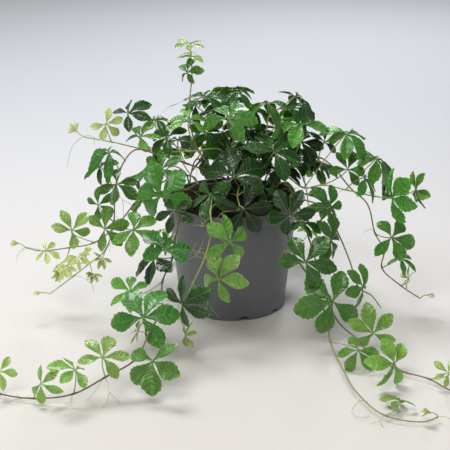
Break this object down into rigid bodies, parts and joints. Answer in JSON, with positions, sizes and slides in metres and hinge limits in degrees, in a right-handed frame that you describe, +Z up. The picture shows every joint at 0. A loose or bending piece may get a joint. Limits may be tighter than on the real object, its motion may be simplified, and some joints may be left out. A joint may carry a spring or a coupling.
{
  "type": "potted miniature grape ivy",
  "caption": "Small climbing plant with toothed five-fingered leaves, spilling over a plain tapered nursery pot of soil and trailing on the surface.",
  "frame": {"origin": "centre of the pot's base, on the surface it stands on", "axes": "+Z up along the pot's axis, -Y the front of the plant, +X its right side seen from the front"},
  "size_m": [0.439, 0.421, 0.2433],
  "materials": {
    "pot": "grey moulded nursery plastic, faintly satin",
    "soil": "dark peaty soil with coarse reddish-brown bits",
    "leaves": "glossy living leaves, dark green when old and lime green at the tips, on pale green stalks"
  },
  "bodies": {
    "root": {"pot": "pot", "soil": "soil", "vine_top_shoot": "leaves", "vine_left_high": "leaves", "vine_left_low": "leaves", "vine_left_tip": "leaves", "vine_front_left": "leaves", "vine_front_mid": "leaves", "vine_crown_left": "leaves", "vine_crown_front": "leaves", "vine_crown_mid": "leaves", "vine_crown_right": "leaves", "vine_crown_back": "leaves", "vine_right_high": "leaves", "vine_right_main": "leaves", "vine_right_low": "leaves", "vine_floor_front": "leaves", "vine_floor_right": "leaves", "vine_back_1": "leaves", "vine_back_2": "leaves", "vine_back_3": "leaves", "vine_back_4": "leaves", "vine_back_5": "leaves", "vine_crown_rear": "leaves"}
  },
  "joints": []
}
